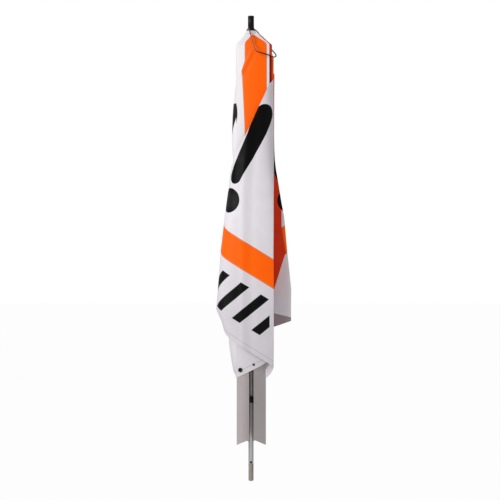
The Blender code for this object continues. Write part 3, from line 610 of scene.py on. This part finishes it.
def foldPoint(half, distance, depth):
    # plan point of the folded cloth at a flat distance from its seam
    facts = halves[half]
    strips = facts["fromSeam"]
    if facts["wraps"]:
        return (leadPoint if distance < strips[0][0] else wrapPoint)(half, distance, depth)
    number = min(2, sum(distance > last for _, last in strips))
    first, last = strips[number]
    if distance < first:
        # in the bend between two strips
        before, after = Vector(facts["rest"][number - 1][1]), Vector(facts["rest"][number][0])
        ended = strips[number - 1][1]
        return before.lerp(after, (distance - ended) / (first - ended)) * neckShare(depth)
    begin, end = (Vector(point) for point in facts["rest"][number])
    share = (distance - first) / (last - first)
    out = across(end - begin) * stripBow(half, number, depth) * arch(share)
    if out.dot(begin + end) < 0.0:
        out = -out
    return (begin + (end - begin) * share + out) * neckShare(depth)


def hemDepth(half, distance):
    climb = max(0.0, distance - printFacts["riseFrom"]) * printFacts["rise"]
    depth = (printFacts["hem"] - climb - distance * math.sin(beta)) / math.cos(beta)
    first = halves[half]["fromSeam"][0][0]
    if half != "right_left_half" or distance <= first + clothFacts["tolerance"]:
        return depth
    # the right face's outer flap is drawn up beyond its lead, and its turned-up corner hangs lower again
    return depth - clothFacts["flapLift"] + between(clothFacts["flapCorner"], distance - first)


def topDepth(half, distance):
    # the free edge runs along the face's middle line, beyond the first strip of a plain half or a wrap's lead
    facts = halves[half]
    first, last = facts["fromSeam"][0]
    if distance <= (first if facts["wraps"] else last) + clothFacts["tolerance"]:
        return clothFacts["top"]
    # a narrow overlap lies beyond the middle line of the outer flaps
    over = 0.0
    if facts["wraps"]:
        over = clothFacts["overlap"] * share01((distance - first) / clothFacts["overlapFrom"])
    return max(clothFacts["top"], distance / math.tan(beta) - over / math.sin(beta))


# a wave has a size, a frequency across and down the cloth, and a phase; a ridge has a height, place and width
rippleFacts = {
    "height": 0.00055, "calmFrom": 0.07, "calmOver": 0.08, "inward": 0.002,
    "waves": ((0.50, 95.0, 11.0, 0.7), (0.35, 41.0, -23.0, 0.0), (0.25, 27.0, 61.0, 1.9)),
    "uprightFolds": ((0.0013, 0.1065, 0.0065), (-0.0009, 0.0900, 0.0080)),
}
creaseFacts = {
    "first": (0.0330, 0.0380), "last": (0.0119, 0.0790), "fadeIn": 0.010, "runOn": 0.016, "fadeOut": 0.012,
    "ridges": ((0.0016, 0.0, 0.0030), (-0.00096, 0.0060, 0.0045)),
}


def ridge(facts, place):
    return sum(height * math.exp(-((place - middle) / width) ** 2) for height, middle, width in facts)


def ripple(half, distance, depth, spot):
    # soft creases from folding, pushed in and out of the cloth where there is room for them
    room = halves[half]["ripple"]
    if not room:
        return spot
    calm = share01((depth - rippleFacts["calmFrom"]) / rippleFacts["calmOver"])
    wave = sum(size * math.sin(distance * wide + depth * deep + phase)
               for size, wide, deep, phase in rippleFacts["waves"])
    push = wave * rippleFacts["height"] * calm * room
    if half == "front_left_half":
        # a soft crease runs from the panel's middle, below the crown, out to its outer edge
        first, last = Vector(creaseFacts["first"]), Vector(creaseFacts["last"])
        way = (last - first).normalized()
        off = Vector((distance, depth)) - first
        along, beside = off.dot(way), off.x * way.y - off.y * way.x
        fade = share01(along / creaseFacts["fadeIn"])
        fade *= share01(((last - first).length + creaseFacts["runOn"] - along) / creaseFacts["fadeOut"])
        push += ridge(creaseFacts["ridges"], beside) * fade
    if half == "front_right_half":
        # the long upright fold that catches the light
        push += ridge(rippleFacts["uprightFolds"], distance) * calm
    return spot + Vector((spot.x, spot.y + rippleFacts["inward"])).normalized() * push


sheetFacts = {
    "shown": {"rows": 150, "columns": 40}, "hidden": {"rows": 60, "columns": 12},
    "leadColumns": 14, "bendColumns": 4, "topCrowding": 1.6, "smoothAngle": 50.0,
    "foldSamples": 24, "leastBend": 0.0001,
}


def sheetSize(half, columns):
    # a sheet's flat width, and its longest run from free edge to hem
    return columns[-1] - columns[0], hemDepth(half, columns[0]) - topDepth(half, columns[0])


def clothPiece(name, half, spans):
    # one sheet: columns at fixed distances from the seam, rows from its free edge down to the hem
    facts = halves[half]
    rows = sheetFacts["shown" if facts["shown"] else "hidden"]["rows"]
    columns = [begin + (end - begin) * i / count for begin, end, count in spans for i in range(count)]
    columns.append(spans[-1][1])
    bm = bmesh.new()
    flat = bm.loops.layers.uv.new("flat")
    grid, places = [], {}
    for distance in columns:
        top, bottom = topDepth(half, distance), hemDepth(half, distance)
        crowding = sheetFacts["topCrowding"] if top < 0.01 else 1.0
        line = []
        for row in range(rows + 1):
            depth = top + (bottom - top) * (row / rows) ** crowding
            spot = ripple(half, distance, depth, foldPoint(half, distance, depth))
            vert = bm.verts.new((spot.x, spot.y, -depth))
            places[vert] = (depth * math.sin(beta) - distance * math.cos(beta),
                            depth * math.cos(beta) + distance * math.sin(beta))
            line.append(vert)
        grid.append(line)
    for left, right in zip(grid, grid[1:]):
        for i in range(rows):
            face = bm.faces.new((left[i], left[i + 1], right[i + 1], right[i]))
            for loop in face.loops:
                loop[flat].uv = places[loop.vert]
    bm.normal_update()
    middle = bm.faces[:][len(bm.faces) // 2]
    bmesh.ops.recalc_face_normals(bm, faces=bm.faces)
    centre = middle.calc_center_median()
    if middle.normal.dot(Vector((centre.x, centre.y, 0.0))) < 0.0:
        bmesh.ops.reverse_faces(bm, faces=bm.faces)
    mesh = bpy.data.meshes.new(name)
    bm.to_mesh(mesh)
    # the shown cloth's area: the hairpin bends between strips are drawn shorter than the real cloth there
    width, tall = sheetSize(half, columns)
    area = min(sum(face.calc_area() for face in bm.faces), width * tall)
    bm.free()
    mesh.materials.append(facts["finish"])
    piece = newPiece(name, mesh)
    bpy.ops.object.shade_smooth()
    bpy.ops.object.modifier_add(type="SOLIDIFY")
    shell = piece.modifiers[-1]
    shell.thickness = clothFacts["thickness"]
    shell.offset = 0.0
    bpy.ops.object.modifier_apply(modifier=shell.name)
    bpy.ops.object.shade_smooth_by_angle(angle=math.radians(sheetFacts["smoothAngle"]))
    return piece, (width, tall), area


def clothSheet(half, name, spans, node):
    name = f"{half}_{name}"
    piece, flat, area = clothPiece(name, half, spans)
    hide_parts(node)
    return piece


def bend(piece):
    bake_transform(piece)


def bendAlong(piece, a, b, half, first, last, depth):
    # the bend's ends are found at two flat distances, but no bend is set up: the sheet is only baked in place
    begin, end = foldPoint(half, first, depth), foldPoint(half, last, depth)
    bend(piece)


def bendAtFold(piece, a, b, half, number):
    # finds and prints the widest gap between two folded strips, on the best of 360 plan directions; no bend
    # is set up there, the sheet is only baked in place
    depth = clothFacts["foldDepth"]
    (first, last), (nextFirst, nextLast) = halves[half]["fromSeam"][number:number + 2]
    count = sheetFacts["foldSamples"]
    before = [foldPoint(half, first + (last - first) * i / count, depth) for i in range(3, count + 1)]
    beyond = (nextFirst + (nextLast - nextFirst) * i / count for i in range(count // 2 + 1))
    after = [foldPoint(half, distance, depth) for distance in beyond]
    best = None
    for turn in range(360):
        normal = Vector((math.cos(math.radians(turn)), math.sin(math.radians(turn))))
        low, high = max(p.dot(normal) for p in before), min(p.dot(normal) for p in after)
        if best is None or high - low > best[0]:
            best = (high - low, normal, low, high)
    gap, normal, low, high = best
    print(half, "fold", number + 1, "gap mm", round(gap * 1000, 2))
    bend(piece)


def makeCloth(half):
    facts = halves[half]
    wraps, strips = facts["wraps"], facts["fromSeam"]
    leg = f"leg_{facts['leg']}"
    bodies = [f"{half}_strip_{number + 1}" for number in range(3)]
    split1 = strips[0][0] + (strips[0][1] - strips[0][0]) * clothFacts["splitShare"]
    split2 = sum(strips[1]) / 2
    bendColumns = sheetFacts["bendColumns"]
    fine = sheetFacts["shown" if facts["shown"] else "hidden"]["columns"]
    bendDepth = clothFacts["bendDepth"]
    # seam and first strip; a wrap has a lead beside the leg, and its first strip rides that strip and keeps
    # its shape
    if wraps:
        leadEnd = strips[0][0]
        piece = clothSheet(half, "lead_cloth", [(0.0, leadEnd, sheetFacts["leadColumns"])], f"{half}_lead")
        bendAlong(piece, leg, bodies[0], half, 0.0, leadEnd, bendDepth)
        spans = [(leadEnd + 2 * clothFacts["tolerance"], split1, fine)]
        piece = clothSheet(half, "upper_cloth", spans, bodies[0])
        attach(piece, bodies[0])
    else:
        piece = clothSheet(half, "upper_cloth", [(0.0, split1, fine)], bodies[0])
        bendAlong(piece, leg, bodies[0], half, 0.0, split1 * 0.5, bendDepth)
    # first fold and half of the second strip
    spans = [(split1, strips[0][1], bendColumns)]
    if strips[1][0] > strips[0][1]:
        spans += [(strips[0][1], strips[1][0], bendColumns)]
    spans += [(strips[1][0], split2, fine // 2)]
    piece = clothSheet(half, "first_fold", spans, bodies[1])
    if wraps:
        early, late = clothFacts["foldReach"]
        bendAlong(piece, *bodies[:2], half, strips[0][1] - early, strips[1][0] + late, bendDepth)
    else:
        bendAtFold(piece, *bodies[:2], half, 0)
    # rest of the second strip, second fold and third strip
    spans = [(split2, strips[1][1], fine // 2)]
    if strips[2][0] > strips[1][1]:
        spans += [(strips[1][1], strips[2][0], bendColumns)]
    widest = printFacts["hem"] * math.tan(beta) * math.cos(beta) - clothFacts["tooThin"]
    spans += [(strips[2][0], min(strips[2][1], widest), fine // 2)]
    piece = clothSheet(half, "free_edge", spans, bodies[2])
    if wraps:
        early, late, depth = clothFacts["lastFoldReach"]
        bendAlong(piece, *bodies[1:], half, strips[1][1] - early, strips[2][0] + late, depth)
    else:
        bendAtFold(piece, *bodies[1:], half, 1)
    print(half, "sheets made")


for half in halves:
    makeCloth(half)


# Hard pieces: the CAD solids with merged faces and small rounded edges, as real stock has
edgeFacts = {"merge": 0.000002, "flat": 1.0, "sharp": 30.0, "segments": 2, "smoothAngle": 32.0}


def refined(node, body, look, rounded):
    finish, slotName = look
    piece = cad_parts[node].copy()
    piece.data = piece.data.copy()
    for key in list(piece.keys()):
        del piece[key]
    piece.name = f"{node}_shaped"
    bpy.context.scene.collection.objects.link(piece)
    piece.hide_render = False
    makeActive(piece)
    bpy.ops.object.mode_set(mode="EDIT")
    bpy.ops.mesh.select_all(action="SELECT")
    bpy.ops.mesh.remove_doubles(threshold=edgeFacts["merge"])
    bpy.ops.mesh.dissolve_limited(angle_limit=math.radians(edgeFacts["flat"]))
    bpy.ops.object.mode_set(mode="OBJECT")
    bpy.ops.object.modifier_add(type="BEVEL")
    rounding = piece.modifiers[-1]
    rounding.width = rounded
    rounding.segments = edgeFacts["segments"]
    rounding.limit_method = "ANGLE"
    rounding.angle_limit = math.radians(edgeFacts["sharp"])
    rounding.harden_normals = True
    bpy.ops.object.modifier_apply(modifier=rounding.name)
    bpy.ops.object.shade_smooth_by_angle(angle=math.radians(edgeFacts["smoothAngle"]))
    piece.data.materials.clear()
    piece.data.materials.append(finish)
    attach(piece, body)
    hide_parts(node)
    return piece


for leg in legAzimuths:
    refined(f"leg_{leg}", f"leg_{leg}", legMetal, 0.00028)
    refined(f"leg_top_{leg}", f"leg_{leg}", black, 0.00025)
    refined(f"strut_bracket_{leg}", f"leg_{leg}", nylon, 0.0002)
    refined(f"strut_{leg}", f"strut_{leg}", steel, 0.0002)
refined("crown_hub", "crown", black, 0.0002)
refined("centre_rod", "rod", rodMetal, 0.0002)
refined("rod_tip", "rod", beige, 0.0003)
refined("strut_ring", "rod", nylon, 0.0002)
refined("knob_collar", "rod", black, 0.0004)
refined("loop_band", "rod", black, 0.0004)


def makeCap():
    cloth = signCloth("white sign cloth, cap", base="cap", printed=False)
    cap = refined("crown_cap", "crown", (cloth, "white_cloth"), 0.0001)


makeCap()

knobFacts = {
    "radius": 0.0059, "bottom": 0.0023, "height": 0.0265, "segments": 48, "edge": 0.0011, "edgeSegments": 4,
    "rim": 0.0006, "dish": 0.0003, "dishRim": 0.0008, "smoothAngle": 38.0,
    "grooves": (0.0052, 0.0066, 0.0245), "groove": 0.0004, "waist": 0.955, "near": 0.00005,
}


def makeKnob():
    # grip cap: turned body with a rounded top edge, a shallow dished top and three fine grooves
    deselectAll()
    tall = knobFacts["height"]
    bpy.ops.mesh.primitive_cylinder_add(vertices=knobFacts["segments"], radius=knobFacts["radius"],
                                        depth=tall, location=(0, 0, knobFacts["bottom"] + tall / 2))
    knob = bpy.context.object
    knob.name = "knob_cap"
    middle = knob.location.z
    bpy.ops.object.mode_set(mode="EDIT")

    def selectTop():
        bpy.ops.mesh.select_all(action="DESELECT")
        bm = bmesh.from_edit_mesh(knob.data)
        top = max(vert.co.z for vert in bm.verts)
        for face in bm.faces:
            level = face.calc_center_median().z
            face.select = face.normal.z > 0.99 and level > top - 2 * knobFacts["near"]
        bm.select_flush_mode()
        bmesh.update_edit_mesh(knob.data)

    selectTop()
    bpy.ops.mesh.bevel(offset=knobFacts["edge"], segments=knobFacts["edgeSegments"], affect="EDGES")
    selectTop()
    bpy.ops.mesh.inset(thickness=knobFacts["rim"])
    bpy.ops.transform.translate(value=(0, 0, -knobFacts["dish"]))
    bpy.ops.mesh.inset(thickness=knobFacts["dishRim"])
    for level in knobFacts["grooves"]:
        for height in (level - knobFacts["groove"], level, level + knobFacts["groove"]):
            bpy.ops.mesh.select_all(action="SELECT")
            bpy.ops.mesh.bisect(plane_co=(0, 0, height), plane_no=(0, 0, 1))
    bpy.ops.object.mode_set(mode="OBJECT")
    for vert in knob.data.vertices:
        if any(abs(vert.co.z + middle - level) < knobFacts["near"] for level in knobFacts["grooves"]):
            vert.co.x *= knobFacts["waist"]
            vert.co.y *= knobFacts["waist"]
    bpy.ops.object.transform_apply(location=True, rotation=True, scale=True)
    bpy.ops.object.shade_smooth_by_angle(angle=math.radians(knobFacts["smoothAngle"]))
    knob.data.materials.append(black[0])
    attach(knob, "rod")
    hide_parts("knob")


makeKnob()

# press studs, the rod's rivet, the hinge pins and the struts' rivets
refined("corner_stud", "front_left_half_strip_1", black, 0.0003)
refined("hem_stud", "front_left_half_strip_1", black, 0.0003)
refined("tip_rivet", "rod", black, 0.0003)
for leg in legAzimuths:
    refined(f"hinge_pin_{leg}", "crown", steel, 0.0003)
for leg in legAzimuths:
    refined(f"strut_rivet_{leg}", f"leg_{leg}", steel, 0.0002)
print("hard pieces made")

# Carrying loop: a thin cord, from the band at the knob's foot over the right shoulder and back
loopFacts = {
    "radius": 0.0011, "perSpan": 10, "sides": 12, "yarn": 0.0024, "yarnsRound": 8.0,
    # the cord's first part from the knob is painted brown as a reflection, black further on
    "paintedReflection": (0.052, 0.066), "reflectionBrown": "#8b6a5a", "black": ("#060505", "#151313"),
    "route": ((-0.0035, -0.0080, 0.0037), (-0.0042, -0.0112, 0.0018), (-0.0020, -0.0150, -0.0050),
              (0.0008, -0.0235, -0.0140), (0.0035, -0.0300, -0.0250), (0.0060, -0.0352, -0.0350),
              (0.0110, -0.0368, -0.0430), (0.0180, -0.0368, -0.0455), (0.0260, -0.0350, -0.0475),
              (0.0340, -0.0325, -0.0500), (0.0425, -0.0260, -0.0530), (0.0480, -0.0140, -0.0505),
              (0.0470, -0.0020, -0.0450), (0.0410, 0.0080, -0.0370), (0.0335, 0.0140, -0.0285),
              (0.0265, 0.0150, -0.0170), (0.0172, 0.0140, -0.0060), (0.0088, 0.0118, 0.0025),
              (0.0036, 0.0082, 0.0037)),
}


def smoothRoute(points, perSpan):
    # a smooth line through the points
    ends = [Vector(point) for point in (points[0], *points, points[-1])]
    found = []
    for index in range(1, len(ends) - 2):
        a, b, c, d = ends[index - 1:index + 3]
        for step in range(perSpan):
            t = step / perSpan
            found.append(0.5 * ((2 * b) + (c - a) * t + (2 * a - 5 * b + 4 * c - d) * t * t
                                + (3 * b - a - 3 * c + d) * t ** 3))
    found.append(ends[-1])
    return found


def cordMaterial():
    # braided polyester cord: black, two sets of yarns crossing at a slant, and brown from the knob down, a
    # painted reflection of the cloth beside it
    made, tree, shader = newMaterial("braided polyester cord")
    uv = nodeIn(tree, "ShaderNodeUVMap", {"uv_map": "lay"})
    along = nodeIn(tree, "ShaderNodeSeparateXYZ", {"Vector": uv}, 1)
    scale = loopFacts["yarnsRound"], 1.0 / loopFacts["yarn"], 1.0
    slant = 0.0, 0.0, math.pi / 4
    turned = nodeIn(tree, "ShaderNodeMapping", {"Vector": uv, "Scale": scale, "Rotation": slant})
    first, second = (linear(colour) for colour in loopFacts["black"])
    yarns = {"Vector": turned, "Scale": 1.0, "Color1": first, "Color2": second}
    colour, height = (nodeIn(tree, "ShaderNodeTexChecker", yarns, place) for place in (0, 1))
    # painted reflection: brown near the knob, black further on
    paintedReflection = spread(tree, along, *loopFacts["paintedReflection"], 1.0, 0.0)
    fill(tree, shader, {
        "Base Color": colourMix(tree, paintedReflection, colour, loopFacts["reflectionBrown"]), "Roughness": 0.75,
        "Specular IOR Level": 0.2, "Normal": relief(tree, height, 0.5, mm(0.15))})
    return made


def makeLoop():
    line = smoothRoute(loopFacts["route"], loopFacts["perSpan"])
    sides, radius = loopFacts["sides"], loopFacts["radius"]
    bm = bmesh.new()
    lay = bm.loops.layers.uv.new("lay")
    rings, travelled, runs = [], 0.0, []
    side = Vector((0, 0, 1)).cross(line[1] - line[0]).normalized()
    for index, point in enumerate(line):
        way = (line[min(index + 1, len(line) - 1)] - line[max(index - 1, 0)]).normalized()
        side = (side - way * side.dot(way)).normalized()
        other = way.cross(side)
        travelled += (point - line[index - 1]).length if index else 0.0
        runs.append(travelled)
        rings.append([bm.verts.new(point + (side * math.cos(a) + other * math.sin(a)) * radius)
                      for a in (math.tau * i / sides for i in range(sides))])
    for row, (first, second) in enumerate(zip(rings, rings[1:])):
        for i in range(sides):
            j = (i + 1) % sides
            face = bm.faces.new((first[i], first[j], second[j], second[i]))
            for loop, (u, v) in zip(face.loops, ((i, row), (i + 1, row), (i + 1, row + 1), (i, row + 1))):
                loop[lay].uv = (u / sides, runs[v])
    bm.faces.new(list(reversed(rings[0])))
    bm.faces.new(rings[-1])
    bmesh.ops.recalc_face_normals(bm, faces=bm.faces)
    mesh = bpy.data.meshes.new("carry_cord")
    bm.to_mesh(mesh)
    bm.free()
    mesh.materials.append(cordMaterial())
    cord = newPiece("carry_cord", mesh)
    bpy.ops.object.shade_smooth()
    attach(cord, "rod")
    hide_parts("carry_loop")
    print("loop made, mm", round(travelled * 1000, 1))


makeLoop()

print("scene made")
